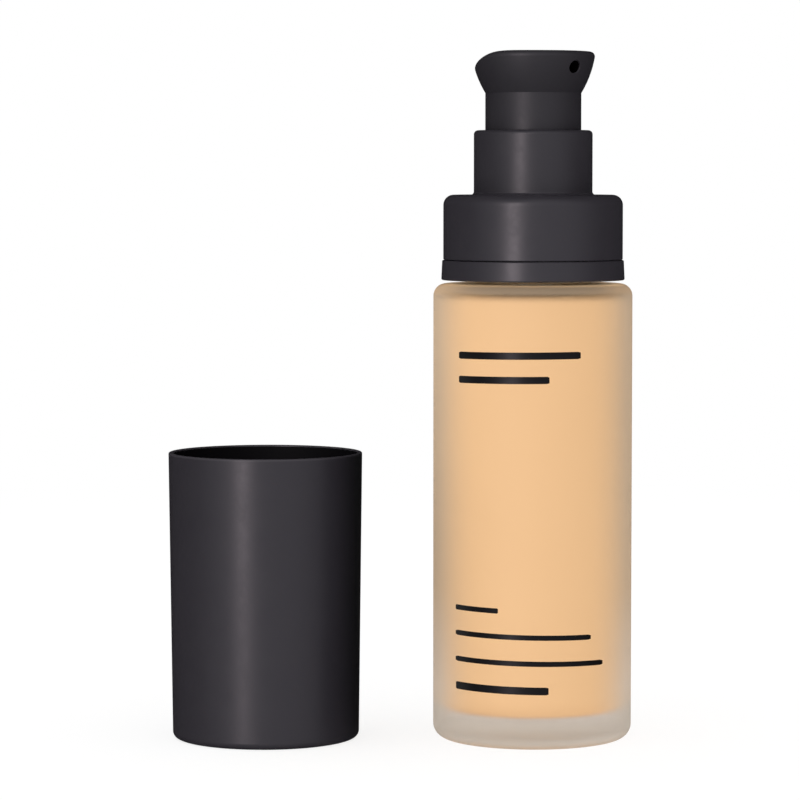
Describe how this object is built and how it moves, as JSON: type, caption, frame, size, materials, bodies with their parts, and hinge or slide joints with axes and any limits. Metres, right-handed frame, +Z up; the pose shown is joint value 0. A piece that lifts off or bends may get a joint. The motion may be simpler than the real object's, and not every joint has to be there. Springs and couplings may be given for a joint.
{
  "type": "foundation bottle with treatment pump and overcap",
  "caption": "Round frosted glass bottle with a screw-on treatment pump, flared press-down head with side nozzle, and a separate straight overcap standing open end up.",
  "frame": {"origin": "centre of the bottle's base, on the plane of its bearing ring", "axes": "+Z up along the bottle and pump axis; -Y is the front; the overcap stands on the -X side"},
  "size_m": [0.0724, 0.031, 0.1071],
  "materials": {
    "frosted_glass": "frosted, colourless, outside face only",
    "foundation": "opaque beige liquid",
    "soft_black": "satin, faintly violet black",
    "natural_plastic": "milky, undyed",
    "seal_plastic": "soft, waxy",
    "gasket_foam": "fine closed-cell foam",
    "spring_steel": "bright drawn"
  },
  "bodies": {
    "bottle": {"glass_bottle": "frosted_glass", "foundation_fill": "foundation"},
    "pump_frame": {"pump_housing": "natural_plastic", "stem_guide": "natural_plastic", "neck_gasket": "gasket_foam", "dip_tube": "natural_plastic", "return_spring": "spring_steel"},
    "closure": {"screw_closure": "soft_black", "collar_shell": "soft_black"},
    "stem": {"pump_stem": "natural_plastic", "stem_tip": "natural_plastic"},
    "piston": {"piston_seal": "seal_plastic"},
    "ball": {"inlet_ball": "spring_steel"},
    "head": {"actuator": "soft_black"},
    "cap": {"overcap": "soft_black"}
  },
  "joints": [
    {"name": "pump_rise", "type": "slide", "parent": "bottle", "child": "pump_frame", "axis": [0, 0, 1], "range_m": [0, 0.0036]},
    {"name": "closure_unscrew", "type": "hinge", "parent": "pump_frame", "child": "closure", "pos_m": [0, 0, 0.078], "axis": [0, 0, 1], "range_deg": [0, 405]},
    {"name": "actuator_press", "type": "slide", "parent": "pump_frame", "child": "stem", "axis": [0, 0, -1], "range_m": [0, 0.0056], "stiffness_N_per_m": 40, "springref_m": -0.008, "deforming": ["return_spring"]},
    {"name": "actuator_turn", "type": "hinge", "parent": "stem", "child": "head", "pos_m": [0, 0, 0.098], "axis": [0, 0, 1], "continuous": true},
    {"name": "piston_lag", "type": "slide", "parent": "stem", "child": "piston", "axis": [0, 0, 1], "range_m": [0, 0.0008]},
    {"name": "inlet_ball_lift", "type": "slide", "parent": "pump_frame", "child": "ball", "axis": [0, 0, 1], "range_m": [0, 0.0015]},
    {"name": "cap_turnover", "type": "hinge", "parent": "bottle", "child": "cap", "pos_m": [-0.02088, 0, 0.07815], "axis": [0, 1, 0], "range_deg": [0, 180]}
  ],
  "couplings": [
    {"joint": "pump_rise", "follows": "closure_unscrew", "m_per_rad": 0.00050532}
  ]
}
